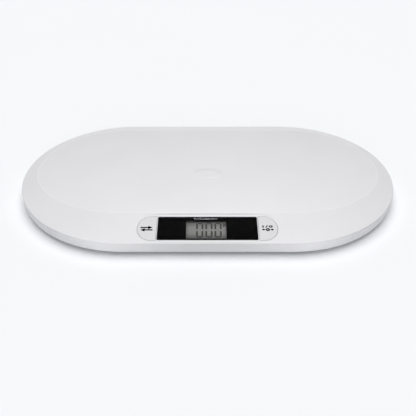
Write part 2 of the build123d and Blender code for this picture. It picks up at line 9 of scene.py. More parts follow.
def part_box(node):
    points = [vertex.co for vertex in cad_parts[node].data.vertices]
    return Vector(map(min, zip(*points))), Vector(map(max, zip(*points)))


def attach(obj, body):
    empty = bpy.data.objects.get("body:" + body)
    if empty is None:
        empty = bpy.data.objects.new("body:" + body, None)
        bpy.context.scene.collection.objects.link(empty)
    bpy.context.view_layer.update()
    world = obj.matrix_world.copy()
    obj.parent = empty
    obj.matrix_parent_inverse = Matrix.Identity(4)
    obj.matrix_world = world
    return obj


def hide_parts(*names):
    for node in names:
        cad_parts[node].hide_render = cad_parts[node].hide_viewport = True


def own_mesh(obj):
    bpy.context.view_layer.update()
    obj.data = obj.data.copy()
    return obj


# Animal weighing scale: a tray with a shallow oval dish, and a display and two keys in its front deck.
# Lengths are metres: +X to the right, -Y from the tray's middle to the display, +Z up from the floor.

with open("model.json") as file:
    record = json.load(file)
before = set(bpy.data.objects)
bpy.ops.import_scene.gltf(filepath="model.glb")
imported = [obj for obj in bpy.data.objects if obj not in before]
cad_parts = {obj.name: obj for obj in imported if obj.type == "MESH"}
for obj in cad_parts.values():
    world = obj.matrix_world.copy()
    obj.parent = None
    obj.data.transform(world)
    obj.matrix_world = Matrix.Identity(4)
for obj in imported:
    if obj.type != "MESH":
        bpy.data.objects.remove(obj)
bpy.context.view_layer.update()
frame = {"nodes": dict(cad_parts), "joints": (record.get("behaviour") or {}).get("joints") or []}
MM = 0.001


# ---------------------------------------------------------------- sizes

tray_low, tray_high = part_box("top_tray")
half_length = tray_high.x
half_width = tray_high.y
crest_height = tray_high.z
lip_height = tray_low.z

edge_height = 23.2 * MM
edge_radius = 1.2 * MM
wall_taper = 3.5 * MM
lip_radius = 0.5 * MM
shell = 2.5 * MM
inner_corner = 1 * MM

dish_half_length = 254.8 * MM
dish_back = 139.9 * MM
dish_front = -92.5 * MM
dish_widest = 17.0 * MM
dish_back_corner = 130.0 * MM
dish_front_corner = 134.5 * MM
dish_centre = 23.7 * MM
dish_depth = 8.2 * MM
bead_width = 1.8 * MM
bead_height = 0.25 * MM
dimple_half_length = 24 * MM
dimple_half_width = 14 * MM
dimple_depth = 1.6 * MM

# The dimple is flat out to this share of the way to its edge, and slopes up over the next share.
dimple_flat = 0.66
dimple_slope = 0.36

# How far the crest's base colour is lightened by a painted highlight, from 0 to 1.
crest_highlight = 0.45

# The display's panel is a stadium let into the deck. The keys' press axis is square to it.
# Keys, seams and marks are placed from the window's middle, in the panel's own plane.
window_low, window_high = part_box("display_window")
window_length = window_high.x - window_low.x
window_thickness = 1.5 * MM
window_corner = 2 * MM
window_gap = 0.2 * MM
window_seat = 0.02 * MM
window_chamfer = 0.2 * MM
panel_up = -Vector(next(j["axis"] for j in frame["joints"] if j["name"] == "unit_key_press"))
window_width = (window_high.y - window_low.y + window_thickness * panel_up.y) / panel_up.z
panel_origin = (window_low + window_high) / 2 + panel_up * window_thickness / 2
panel_along = Vector((1, 0, 0))
panel_plane = Matrix((panel_along, panel_up.cross(panel_along), panel_up)).transposed().to_4x4()
panel_plane.translation = panel_origin
panel_margin = 1.1 * MM
panel_slope_width = 2.1 * MM
panel_setback = 1.9 * MM

# Two thin seams run along the panel, at these distances from its middle and heights above its plane.
seams = [(-30.9 * MM, 0), (31.6 * MM, 0.8 * MM)]
seam_length = 150 * MM
seam_width = 0.4 * MM
seam_depth = 1.2 * MM
seam_above = 1.5 * MM
seam_point = 20 * MM

pocket_depth = 1.9 * MM
opening_depth = 8 * MM
rim_chamfer = 0.35 * MM

lcd_low, lcd_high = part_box("lcd_panel")
lcd_length = lcd_high.x - lcd_low.x
lcd_middle = (lcd_low.x + lcd_high.x) / 2
lcd_offset = (panel_plane.inverted() @ ((lcd_low + lcd_high) / 2)).y
lcd_depth = 2.1 * MM
lcd_opening_width = 41.2 * MM

key_flat = 69.6 * MM
key_middle = 75.6 * MM
key_reach = 20.0 * MM
key_half_width = 26.9 * MM
key_gap = 0.4 * MM
key_corner = 1.2 * MM
key_round = 0.7 * MM
key_crown = 0.22 * MM
key_skin = 1.6 * MM
key_wall = 1.8 * MM
key_flange = 1.65 * MM
flange_top = 2.9 * MM
flange_bottom = 3.9 * MM
key_side_top = 1.8 * MM
sides = [("unit", -1), ("tare", 1)]

# The keys' marks reach from just under their surface to just over it.
ink_low = -0.06 * MM
ink_high = 0.02 * MM
ink_black = "print_black"

# Points along each stretch of an outline, and rings across each stretch of the tray. The panel's are fine.
front_steps = 230
back_steps = 40
corner_steps = 62
bead_steps = 8
rim_steps = 91
edge_steps = 6
key_round_steps = 5


# ---------------------------------------------------------------- making meshes

def piece(name, vertices, faces, material, body="case"):
    """A mesh piece that rides on a CAD body."""
    mesh = bpy.data.meshes.new(name)
    mesh.from_pydata([tuple(v) for v in vertices], [], faces)
    mesh.update()
    thing = bpy.data.objects.new(name, mesh)
    bpy.context.scene.collection.objects.link(thing)
    mesh.materials.append(material)
    if body:
        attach(thing, body)
    return thing


def stack(rings, looped=False):
    """Vertices and faces of a skin through rings of points. Its ends are filled, or joined if looped."""
    count = len(rings[0])
    vertices = np.concatenate(rings)
    turns = len(rings) if looped else len(rings) - 1
    faces = []
    for row in range(turns):
        low, high = row * count, (row + 1) % len(rings) * count
        for i in range(count):
            j = (i + 1) % count
            faces.append((low + i, low + j, high + j, high + i))
    if not looped:
        first, last, end = len(vertices), len(vertices) + 1, turns * count
        vertices = np.concatenate([vertices, rings[0].mean(0)[None], rings[-1].mean(0)[None]])
        for i in range(count):
            j = (i + 1) % count
            faces.append((first, j, i))
            faces.append((last, end + i, end + j))
    return vertices, faces


def joined(parts):
    """Several sets of vertices and faces as one."""
    vertices, faces = [], []
    for part_vertices, part_faces in parts:
        start = sum(len(v) for v in vertices)
        vertices.append(np.asarray(part_vertices))
        faces += [tuple(start + i for i in face) for face in part_faces]
    return np.concatenate(vertices), faces


def slab(outline, bottom, top):
    """A thin plate from a list of x, y points on the panel."""
    count = len(outline)
    low = np.array([(x, y, bottom) for x, y in outline])
    high = np.array([(x, y, top) for x, y in outline])
    faces = [tuple(reversed(range(count))), tuple(range(count, 2 * count))]
    for i in range(count):
        j = (i + 1) % count
        faces.append((i, j, count + j, count + i))
    return np.concatenate([low, high]), faces


def bar(x, y, length, width, angle, bottom, top, point=0.0):
    """A straight bar with its ends cut square, or drawn out to points of this length."""
    half, side = length / 2, width / 2
    shape = [(half - point, -side), (half, 0), (half - point, side)]
    shape += [(point - half, side), (-half, 0), (point - half, -side)]
    turn = radians(angle)
    turned = [(x + a * cos(turn) - b * sin(turn), y + a * sin(turn) + b * cos(turn)) for a, b in shape]
    return slab(turned, bottom, top)


def place(ring, matrix):
    """The points of a ring moved by a matrix."""
    turn = np.array(matrix.to_3x3())
    return ring @ turn.T + np.array(matrix.translation)


def smooth(thing, angle=30):
    """Smooth shading, with edges sharper than this angle, in degrees, kept sharp."""
    thing.data.polygons.foreach_set("use_smooth", [True] * len(thing.data.polygons))
    thing.data.set_sharp_from_angle(angle=radians(angle))
    return thing


def cut(thing, cutters):
    """Take the cutters' volumes out of a piece."""
    for cutter in cutters:
        modifier = thing.modifiers.new("cut", "BOOLEAN")
        modifier.operation = "DIFFERENCE"
        modifier.solver = "EXACT"
        modifier.object = cutter
    graph = bpy.context.evaluated_depsgraph_get()
    mesh = bpy.data.meshes.new_from_object(thing.evaluated_get(graph))
    thing.modifiers.clear()
    thing.data = mesh
    for cutter in cutters:
        bpy.data.objects.remove(cutter)
    return thing


def ease(amount):
    """0 to 1, starting and ending gently."""
    amount = np.clip(amount, 0, 1)
    return amount * amount * (3 - 2 * amount)


# ---------------------------------------------------------------- outlines

def quarter(centre, half_x, half_y, start):
    """A quarter of an ellipse from a start angle in degrees, without its last point."""
    angles = np.radians(start + 90 * np.arange(corner_steps) / corner_steps)
    return np.column_stack([centre[0] + half_x * np.cos(angles), centre[1] + half_y * np.sin(angles)])


def straight(half_x, y, steps):
    """A straight run along X from -half_x towards half_x, without its last point."""
    x = half_x * (2 * np.arange(steps) / steps - 1)
    return np.column_stack([x, np.full(steps, y)])


def oval(half_x, back, front, widest, back_corner, front_corner):
    """Once round an outline with a straight front and back and four elliptical corners."""
    front_x = half_x - front_corner
    back_x = half_x - back_corner
    return np.concatenate([
        straight(front_x, front, front_steps),
        quarter((front_x, widest), front_corner, widest - front, -90),
        quarter((back_x, widest), back_corner, back - widest, 0),
        straight(-back_x, back, back_steps),
        quarter((-back_x, widest), back_corner, back - widest, 90),
        quarter((-front_x, widest), front_corner, widest - front, 180),
    ])


def dish_outline(grow):
    """The dish's edge, moved outwards."""
    return oval(
        dish_half_length + grow, dish_back + grow, dish_front - grow,
        dish_widest, dish_back_corner + grow, dish_front_corner + grow,
    )


def rounded_rectangle(length, width, radius, grow=0):
    """Once round a rectangle with rounded corners, moved outwards."""
    steps = 8
    points = []
    for corner, (side_x, side_y) in enumerate([(1, 1), (-1, 1), (-1, -1), (1, -1)]):
        for step in range(steps + 1):
            angle = pi / 2 * (corner + step / steps)
            x = side_x * (length / 2 - radius) + (radius + grow) * cos(angle)
            y = side_y * (width / 2 - radius) + (radius + grow) * sin(angle)
            points.append((x, y, 0))
    return np.array(points)


def key_outline(side, grow):
    """Once round a D-shaped key, its flat towards the window, moved outwards."""
    reach = key_reach + grow
    half_width = key_half_width + grow
    corner = max(key_corner + grow, 0.4 * MM)
    corner_x = key_flat - grow + corner
    corner_y = half_width - corner
    end_steps, side_steps, corner_turns, flat_steps = 64, 5, 6, 24
    points = []
    for step in range(end_steps + 1):
        angle = pi * (step / end_steps - 0.5)
        points.append((key_middle + reach * cos(angle), half_width * sin(angle)))
    for step in range(1, side_steps):
        points.append((key_middle + (corner_x - key_middle) * step / side_steps, half_width))
    for step in range(corner_turns + 1):
        angle = pi / 2 * (1 + step / corner_turns)
        points.append((corner_x + corner * cos(angle), corner_y + corner * sin(angle)))
    for step in range(1, flat_steps):
        points.append((key_flat - grow, corner_y * (1 - 2 * step / flat_steps)))
    for step in range(corner_turns + 1):
        angle = pi / 2 * (2 + step / corner_turns)
        points.append((corner_x + corner * cos(angle), -corner_y + corner * sin(angle)))
    for step in range(1, side_steps):
        points.append((corner_x + (key_middle - corner_x) * step / side_steps, -half_width))
    ring = np.array([(side * x, y, 0) for x, y in points])
    return ring if side > 0 else ring[::-1]


def raised(ring, height):
    """The same ring at a height."""
    return ring + np.array([0, 0, height])


# ---------------------------------------------------------------- finishes

# Nearly all of a noise pattern's values lie between these.
noise_low = 0.3
noise_high = 0.7


def shader_of(name, colour, roughness, sockets):
    """A new material with a Principled shader set to these plain values."""
    material = bpy.data.materials.new(name)
    material.use_nodes = True
    shader = material.node_tree.nodes["Principled BSDF"]
    shader.inputs["Base Color"].default_value = (*colour, 1)
    shader.inputs["Roughness"].default_value = roughness
    for socket, value in sockets.items():
        shader.inputs[socket].default_value = value
    return material, shader


def span(tree, source, low, high, low_value, high_value):
    """A value that eases from one to another as its source goes from low to high."""
    node = tree.nodes.new("ShaderNodeMapRange")
    node.interpolation_type = "SMOOTHSTEP"
    node.inputs["From Min"].default_value = low
    node.inputs["From Max"].default_value = high
    node.inputs["To Min"].default_value = low_value
    node.inputs["To Max"].default_value = high_value
    tree.links.new(source, node.inputs["Value"])
    return node.outputs["Result"]


def noise(material, size, stretch):
    """A noise pattern with features of about this size, in the object's own space."""
    nodes, links = material.node_tree.nodes, material.node_tree.links
    place_node = nodes.new("ShaderNodeTexCoord")
    mapping = nodes.new("ShaderNodeMapping")
    pattern = nodes.new("ShaderNodeTexNoise")
    mapping.inputs["Scale"].default_value = stretch
    pattern.inputs["Scale"].default_value = 1 / size
    pattern.inputs["Detail"].default_value = 3.0
    links.new(place_node.outputs["Object"], mapping.inputs["Vector"])
    links.new(mapping.outputs["Vector"], pattern.inputs["Vector"])
    return pattern.outputs["Fac"]


def tint(material, shader, pattern, darker, lighter):
    """Base colour that wanders between two tones."""
    nodes, links = material.node_tree.nodes, material.node_tree.links
    ramp = nodes.new("ShaderNodeValToRGB")
    ramp.color_ramp.elements[0].position = noise_low
    ramp.color_ramp.elements[0].color = (*darker, 1)
    ramp.color_ramp.elements[1].position = noise_high
    ramp.color_ramp.elements[1].color = (*lighter, 1)
    links.new(pattern, ramp.inputs["Fac"])
    links.new(ramp.outputs["Color"], shader.inputs["Base Color"])


def polish(material, shader, pattern, roughness, spread):
    """Roughness that wanders by a spread either side."""
    nodes, links = material.node_tree.nodes, material.node_tree.links
    wander = nodes.new("ShaderNodeMapRange")
    wander.inputs["From Min"].default_value = noise_low
    wander.inputs["From Max"].default_value = noise_high
    wander.inputs["To Min"].default_value = roughness - spread
    wander.inputs["To Max"].default_value = roughness + spread
    links.new(pattern, wander.inputs["Value"])
    links.new(wander.outputs["Result"], shader.inputs["Roughness"])


def relief(material, shader, pattern, depth):
    """A fine surface relief."""
    nodes, links = material.node_tree.nodes, material.node_tree.links
    bump = nodes.new("ShaderNodeBump")
    bump.inputs["Strength"].default_value = 1.0
    bump.inputs["Distance"].default_value = depth
    links.new(pattern, bump.inputs["Height"])
    links.new(bump.outputs["Normal"], shader.inputs["Normal"])


def surface(name, colour, roughness, tone=0.04, patch=25 * MM, spread=0.05,
            grain=0.5 * MM, depth=0.01 * MM, stretch=(1, 1, 1), **sockets):
    """A finish with patches of slightly different tone and gloss, and a fine grain."""
    material, shader = shader_of(name, colour, roughness, sockets)
    darker = [c * (1 - tone) for c in colour]
    lighter = [min(1, c * (1 + tone)) for c in colour]
    tint(material, shader, noise(material, patch, stretch), darker, lighter)
    polish(material, shader, noise(material, patch / 3, stretch), roughness, spread)
    relief(material, shader, noise(material, grain, stretch), depth)
    return material


def paint_edge_highlight(material, lighter):
    """Edges marked in a mesh attribute get a painted highlight: their base colour is lightened towards a
    paler tone.
    """
    nodes, links = material.node_tree.nodes, material.node_tree.links
    shader = nodes["Principled BSDF"]
    wear = nodes.new("ShaderNodeAttribute")
    wear.attribute_name = "painted_highlight"
    blend = nodes.new("ShaderNodeMix")
    blend.data_type = "RGBA"
    blend.inputs["B"].default_value = (*lighter, 1)
    plain = shader.inputs["Base Color"].links[0].from_socket
    links.new(wear.outputs["Fac"], blend.inputs["Factor"])
    links.new(plain, blend.inputs["A"])
    links.new(blend.outputs["Result"], shader.inputs["Base Color"])


def shaded_border(material):
    """The display sits deep under its window; painted shade darkens its colour towards the edges."""
    tree = material.node_tree
    nodes, links = tree.nodes, tree.links
    shader = nodes["Principled BSDF"]
    where = nodes.new("ShaderNodeTexCoord")
    split = nodes.new("ShaderNodeSeparateXYZ")
    links.new(where.outputs["Generated"], split.inputs["Vector"])
    colour = shader.inputs["Base Color"].links[0].from_socket
    for axis, start, end, dark in (("X", 0.36, 0.5, 0.45), ("Y", 0.1, 0.54, 0.1)):
        away = nodes.new("ShaderNodeMath")
        centred = nodes.new("ShaderNodeMath")
        centred.operation = "SUBTRACT"
        centred.inputs[1].default_value = 0.5
        away.operation = "ABSOLUTE"
        links.new(split.outputs[axis], centred.inputs[0])
        links.new(centred.outputs["Value"], away.inputs[0])
        blend = nodes.new("ShaderNodeMix")
        blend.data_type = "RGBA"
        blend.blend_type = "MULTIPLY"
        blend.inputs["Factor"].default_value = 1
        links.new(colour, blend.inputs["A"])
        links.new(span(tree, away.outputs["Value"], start, end, 1, dark), blend.inputs["B"])
        colour = blend.outputs["Result"]
    links.new(colour, shader.inputs["Base Color"])


finishes = {
    "tray_plastic": surface(
        "tray_plastic", (0.802, 0.799, 0.814), 0.55,
        tone=0.012, patch=60 * MM, **{"Specular IOR Level": 0.2},
    ),
    "base_plastic": surface("base_plastic", (0.76, 0.765, 0.77), 0.5, tone=0.015, grain=0.8 * MM),
    "key_plastic": surface(
        "key_plastic", (0.715, 0.71, 0.722), 0.5, tone=0.012, **{"Specular IOR Level": 0.25}
    ),
    "window_clear": shader_of(
        "window_clear", (1, 1, 1), 0.03,
        {"Transmission Weight": 1.0, "IOR": 1.25, "Specular IOR Level": 0.2},
    )[0],
    "print_black": surface(
        "print_black", (0.0022, 0.0022, 0.0024), 0.6, tone=0.15, **{"Specular IOR Level": 0.0}
    ),
    "print_white": surface("print_white", (0.8, 0.8, 0.8), 0.5),
    "segment_dark": surface("segment_dark", (0.014, 0.014, 0.014), 0.4, tone=0.1),
    "tape": surface("tape", (0.02, 0.02, 0.022), 0.8),
    "lcd_glass": surface("lcd_glass", (0.25, 0.25, 0.238), 0.4, tone=0.04, patch=30 * MM),
    "reflector_white": surface("reflector_white", (0.8, 0.8, 0.78), 0.5),
    "bracket_plastic": surface("bracket_plastic", (0.78, 0.78, 0.79), 0.5),
    "zebra_rubber": surface("zebra_rubber", (0.5, 0.42, 0.4), 0.7),
    "board_green": surface("board_green", (0.012, 0.09, 0.03), 0.35, tone=0.35, patch=3 * MM),
    "package_black": surface("package_black", (0.02, 0.02, 0.022), 0.55, tone=0.1),
    "header_nylon": surface("header_nylon", (0.75, 0.72, 0.65), 0.5),
    "screw_steel": surface("screw_steel", (0.55, 0.56, 0.58), 0.3, tone=0.08, patch=2 * MM, Metallic=1.0),
    "cell_steel": surface(
        "cell_steel", (0.6, 0.6, 0.6), 0.35, tone=0.06, patch=4 * MM, stretch=(1, 12, 1), Metallic=1.0
    ),
    "contact_metal": surface(
        "contact_metal", (0.72, 0.68, 0.58), 0.25, tone=0.06, patch=2 * MM, Metallic=1.0
    ),
    "gauge_film": surface("gauge_film", (0.55, 0.3, 0.06), 0.4),
    "battery_sleeve": surface("battery_sleeve", (0.05, 0.12, 0.3), 0.3, tone=0.05),
    "lead_jacket": surface("lead_jacket", (0.72, 0.72, 0.73), 0.5, tone=0.08, patch=4 * MM),
    "foot_plastic": surface("foot_plastic", (0.25, 0.25, 0.255), 0.55),
    "foot_rubber": surface(
        "foot_rubber", (0.05, 0.05, 0.052), 0.8, tone=0.12, patch=5 * MM, depth=0.03 * MM
    ),
}

# The crest's bright line is a painted highlight, lightening the tray's base colour along it.
paint_edge_highlight(finishes["tray_plastic"], (0.93, 0.93, 0.935))
shaded_border(finishes["lcd_glass"])

for node in frame["nodes"].values():
    for index, held in enumerate(node.data.materials):
        slot_name = held.name.split(".")[0]
        if slot_name in finishes:
            node.data.materials[index] = finishes[slot_name]


# ---------------------------------------------------------------- top tray

def deck_height(along, run):
    """Height of the rim at a distance in from the tray's edge, up to the crest's foot."""
    return edge_height + (crest_height - bead_height - edge_height) * along / run


def with_panel(ring):
    """The rim's points, with the display's panel let into the front deck."""
    local = ring - np.array(panel_origin)
    past_middle = np.maximum(np.abs(local[:, 0]) - key_middle, 0)
    reach = key_reach + panel_margin
    half_width = key_half_width + panel_margin
    rounded = np.hypot(past_middle / reach, local[:, 1] / half_width)
    toward_end = past_middle / reach / np.maximum(rounded, 1e-6)
    distance = (rounded - 1) * (half_width + (reach - half_width) * toward_end**2)
    plane_height = panel_origin.z - local[:, 1] * panel_up.y / panel_up.z
    distance -= panel_setback * np.clip(local[:, 1] / half_width, 0, 1)
    share = ease(distance / panel_slope_width)
    share[ring[:, 1] > dish_front] = 1
    ring = ring.copy()
    ring[:, 2] = plane_height + (ring[:, 2] - plane_height) * share
    return ring


def tray_rings():
    """Rings of the tray's skin, and how much of the crest's painted highlight each gets: from the dish
    outwards, then back inside.
    """
    outer = oval(half_length, half_width, -half_width, 0, half_width, half_width)
    crest = dish_outline(0)
    foot = dish_outline(bead_width)
    middle = np.array([0, dish_centre])
    run = np.linalg.norm(foot - outer, axis=1)
    inward = (foot - outer) / run[:, None]
    rise = (crest_height - bead_height - edge_height) / run
    wall_angle = -np.arctan2(wall_taper, edge_height - lip_height)
    rings, ring_highlight = [], []

    def add(plan, height, wear=0.0):
        rings.append(np.column_stack([plan, np.broadcast_to(height, len(plan))]))
        ring_highlight.append(wear)

    # dish: a shallow paraboloid with a soft oval dimple in its middle
    dimple_shares = [0.02, 0.035, *np.linspace(0.045, 0.135, 28), 0.15]
    dish_shares = [*dimple_shares, *np.linspace(0.2, 0.985, 18), 0.993, 0.998]
    for share in dish_shares:
        plan = middle + (crest - middle) * share
        away = np.hypot(plan[:, 0] / dimple_half_length, (plan[:, 1] - dish_centre) / dimple_half_width)
        dimple = dimple_depth * (1 - ease((away - dimple_flat) / dimple_slope))
        add(plan, crest_height - bead_height - dish_depth * (1 - share**2) - dimple)

    # crest: a low bead, with a painted highlight along it
    for step in range(bead_steps + 1):
        share = step / bead_steps
        height = crest_height - bead_height + bead_height * sin(pi * share)
        add(crest + (foot - crest) * share, height, crest_highlight * sin(pi * share))

    # rim, from the crest's foot out to the edge
    edge_end = edge_radius * (1 - np.sin(np.arctan(rise)))
    for step in range(1, rim_steps + 1):
        share = 1 - step / rim_steps
        along = edge_end + (run - edge_end) * share
        add(outer + inward * along[:, None], deck_height(along, run))
        rings[-1] = with_panel(rings[-1])

    # rounded edge, wall and lip
    centre_height = deck_height(edge_end, run) - edge_radius * np.cos(np.arctan(rise))
    for step in range(1, edge_steps + 1):
        angle = (pi / 2 - np.arctan(rise)) * (1 - step / edge_steps) + wall_angle * step / edge_steps
        along = edge_radius * (1 - np.cos(angle))
        add(outer + inward * along[:, None], centre_height + edge_radius * np.sin(angle))
    for share in (0.3, 0.65, 0.95):
        along = wall_taper * share
        add(outer + inward * along, edge_height - (edge_height - lip_height) * share)
    for angle in (20, 70, 110, 160):
        along = wall_taper + lip_radius * (1 - cos(radians(angle)))
        add(outer + inward * along, lip_height + lip_radius * (1 - sin(radians(angle))))

    # inside: up the wall, under the rim and under the dish
    add(outer + inward * (wall_taper + shell), lip_height + lip_radius)
    add(outer + inward * (shell + inner_corner), edge_height - shell - inner_corner)
    for share in (0.05, 0.35, 0.65, 0.95):
        along = shell + (run - shell) * share
        add(outer + inward * along[:, None], deck_height(along, run) - shell)
    for share in (0.98, 0.85, 0.7, 0.55, 0.4, 0.25, 0.1):
        plan = middle + (crest - middle) * share
        add(plan, crest_height - shell - dish_depth * (1 - share**2))
    return rings, ring_highlight


def prism(name, outline, bottom):
    """A cutter from a depth up through the panel, flared at the top to leave a chamfered rim."""
    above = 1 * MM
    levels = [(-bottom, 0), (-rim_chamfer, 0), (above, rim_chamfer + above)]
    rings = [place(raised(outline(grow), height), panel_plane) for height, grow in levels]
    vertices, faces = stack(rings)
    return piece(name, vertices, faces, finishes["tray_plastic"], body=None)


def top_tray():
    """The tray's skin with the window's pocket and the keys' openings cut in."""
    rings, ring_highlight = tray_rings()
    vertices, faces = stack(rings)
    tray = piece("tray_shell", vertices, faces, finishes["tray_plastic"])
    # Each vertex's share of the crest's painted highlight, read by the tray's material.
    wear = tray.data.attributes.new("painted_highlight", "FLOAT", "POINT")
    per_vertex = np.concatenate([np.repeat(ring_highlight, len(rings[0])), [0, 0]])
    wear.data.foreach_set("value", per_vertex.astype(np.float32))
    cutters = [
        prism(
            "window_pocket",
            lambda grow: rounded_rectangle(window_length, window_width, window_corner, window_gap + grow),
            pocket_depth,
        ),
        prism(
            "display_opening",
            lambda grow: rounded_rectangle(lcd_length, lcd_opening_width, window_corner, window_gap)
            + np.array([lcd_middle, lcd_offset, 0]),
            opening_depth,
        ),
    ]
    for name, side in sides:
        cutters.append(prism(
            f"{name}_opening", lambda grow, side=side: key_outline(side, key_gap + grow), opening_depth
        ))
    for seam_y, surface_height in seams:
        low, high = surface_height - seam_depth, surface_height + seam_above
        groove, faces = bar(0, seam_y, seam_length, seam_width, 0, low, high, seam_point)
        groove = place(groove, panel_plane)
        cutters.append(piece("seam", groove, faces, finishes["tray_plastic"], body=None))
    cut(tray, cutters)
    smooth(tray)
    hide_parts("top_tray")


top_tray()


# ---------------------------------------------------------------- keys

def crown(x, y):
    """How far a key's top bulges above the panel at a local point."""
    across = (np.abs(x) - (key_flat + key_middle + key_reach) / 2) / (key_reach + key_middle - key_flat) * 2
    return key_crown * (1 - (across**2 + (y / key_half_width) ** 2) / 2)


def key(name, side):
    """A hollow D-shaped key with a rounded, slightly crowned top and a flange."""
    levels = [(-key_wall, -key_skin), (-key_wall, -flange_bottom), (key_flange, -flange_bottom)]
    levels += [(key_flange, -flange_top), (0, -flange_top), (0, -key_side_top)]
    top_start = len(levels)
    for step in range(key_round_steps + 1):
        angle = pi / 2 * step / key_round_steps
        levels.append((key_round * (cos(angle) - 1), key_round * (sin(angle) - 1)))
    rings = [raised(key_outline(side, grow), height) for grow, height in levels]
    rim = rings[-1]
    middle = rim.mean(0)
    for share in (0.97, 0.9, 0.8, 0.65, 0.5, 0.35, 0.2, 0.08):
        rings.append(middle + (rim - middle) * share)
    for ring in rings[top_start:]:
        ring[:, 2] += crown(ring[:, 0], ring[:, 1])
    vertices, faces = stack([place(ring, panel_plane) for ring in rings])
    cap = piece(f"{name}_keycap", vertices, faces, finishes["key_plastic"], f"{name}_button")
    smooth(cap, 40)
    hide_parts(f"{name}_key")


def snap_dome(name):
    """The sprung dome under a key's plunger, given its own copy of its mesh."""
    dome = frame["nodes"][f"{name}_switch_dome"]
    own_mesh(dome)


for name, side in sides:
    key(name, side)
    snap_dome(name)


# ---------------------------------------------------------------- window and display

def window_ring(grow, height):
    """Once round the window, moved outwards and up from the panel."""
    outline = rounded_rectangle(window_length, window_width, window_corner, grow)
    return place(raised(outline, height), panel_plane)


def lens():
    """The clear window, its top edge slightly broken."""
    levels = [(0, window_seat - window_thickness), (0, -window_chamfer), (-window_chamfer, 0)]
    vertices, faces = stack([window_ring(grow, height) for grow, height in levels])
    window = piece("window_lens", vertices, faces, finishes["window_clear"])
    smooth(window)
    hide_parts("display_window")


def window_edge():
    """The black print carried up round the window's edge."""
    spare = 0.03 * MM
    inner, outer = spare, window_gap - spare
    low, high = -window_thickness, -0.15 * MM
    corners = ((inner, low), (inner, high), (outer, high), (outer, low))
    vertices, faces = stack([window_ring(grow, height) for grow, height in corners], looped=True)
    band = piece("window_edge_print", vertices, faces, finishes["print_black"])
    smooth(band)


lens()
window_edge()


# ---------------------------------------------------------------- marks

def arrow(tail_x, tip_x, y, width, head, bottom, top):
    """A level arrow from its tail to its tip. Its head has this length."""
    way = 1 if tip_x > tail_x else -1
    neck_x = tip_x - way * head
    barb = head * 0.62
    shape = [(tail_x, -width / 2), (neck_x, -width / 2), (neck_x, -barb), (tip_x, 0)]
    shape += [(neck_x, barb), (neck_x, width / 2), (tail_x, width / 2)]
    return slab([(a, y + way * b) for a, b in shape], bottom, top)


def hoop(x, y, radius_x, radius_y, width, bottom, top):
    """An oval line."""
    angles = np.linspace(0, 2 * pi, 32, endpoint=False)
    rings = []
    for grow, height in ((0, bottom), (0, top), (-width, top), (-width, bottom)):
        ring_x = x + (radius_x + grow) * np.cos(angles)
        ring_y = y + (radius_y + grow) * np.sin(angles)
        rings.append(np.column_stack([ring_x, ring_y, np.full(len(angles), height)]))
    return stack(rings, looped=True)


def mark(name, parts, finish, body="case", lift=None):
    """Printed marks on the panel, following a surface that is lifted from it."""
    vertices, faces = joined(parts)
    if lift:
        vertices[:, 2] += lift(vertices[:, 0], vertices[:, 1])
    made = piece(name, place(vertices, panel_plane), faces, finishes[finish], body)


def key_marks():
    """Two opposed arrows on the unit key; on and off strokes above a zero mark on the other."""
    near, far, shaft, head = 74.6 * MM, 91.2 * MM, 2.7 * MM, 6.0 * MM
    swap = [
        arrow(-far, -near, 1.2 * MM, shaft, head, ink_low, ink_high),
        arrow(-near, -far, -4.0 * MM, shaft, head, ink_low, ink_high),
    ]
    mark("unit_key_mark", swap, ink_black, "unit_button", crown)

    power_y = 3.4 * MM
    power = [
        bar(75.7 * MM, power_y, 4.8 * MM, 1.9 * MM, 90, ink_low, ink_high),
        bar(80.6 * MM, power_y, 5.6 * MM, 1.6 * MM, 62, ink_low, ink_high),
        hoop(86.2 * MM, power_y, 2.7 * MM, 2.6 * MM, 1.7 * MM, ink_low, ink_high),
    ]
    zero_y, shaft, head = -3.4 * MM, 3.0 * MM, 3.4 * MM
    zero = [
        arrow(74.4 * MM, 79.2 * MM, zero_y, shaft, head, ink_low, ink_high),
        hoop(82.0 * MM, zero_y, 2.8 * MM, 3.3 * MM, 2.1 * MM, ink_low, ink_high),
        arrow(89.6 * MM, 84.8 * MM, zero_y, shaft, head, ink_low, ink_high),
    ]
    mark("tare_key_mark", power + zero, ink_black, "tare_button", crown)


def graduation():
    """A row of fine ticks printed on the window over the display."""
    low, high = -window_thickness - 0.005 * MM, -window_thickness + 0.01 * MM
    start, pitch, foot, width = -17.8, 1.62, 20.9 * MM, 0.55 * MM
    ticks = []
    for count in range(20):
        tall = 3.6 * MM if count % 5 == 0 else 2.4 * MM
        ticks.append(bar((pitch * count + start) * MM, foot + tall / 2, tall, width, 90, low, high))
    mark("window_ticks", ticks, "print_white")


def digit(x, low, high):
    """A seven-segment zero in tall narrow strokes."""
    half_width, half_height, middle = 3.7 * MM, 15.0 * MM, -2.3 * MM
    level_length, level_width, level_point = 7.3 * MM, 3.3 * MM, 0.8 * MM
    upright_length, upright_width, upright_point = 13.0 * MM, 2.5 * MM, 1.0 * MM
    waist = 1.6 * MM
    parts = []
    for side_y in (-1, 1):
        level_y = middle + side_y * half_height
        parts.append(bar(x, level_y, level_length, level_width, 0, low, high, level_point))
        for side_x in (-1, 1):
            upright_x = x + side_x * half_width
            upright_y = middle + side_y * (half_height + waist) / 2
            parts.append(bar(
                upright_x, upright_y, upright_length, upright_width, 90, low, high, upright_point
            ))
    return parts


def reading():
    """The display shows zero, with a level mark in its corner."""
    low, high = -lcd_depth - 0.02 * MM, -lcd_depth + 0.03 * MM
    parts = []
    for x in (-10.6, 2.0, 14.4):
        parts += digit(x * MM, low, high)
    for step in range(3):
        x, tall = (21.6 + 1.5 * step) * MM, (10 - 2.6 * step) * MM
        parts.append(bar(x, 8.8 * MM, tall, 1.1 * MM, 90, low, high))
    mark("display_reading", parts, "segment_dark")


key_marks()
graduation()
reading()


# ---------------------------------------------------------------- floor, light and camera

floor_half = 6.0
floor_steps = 12

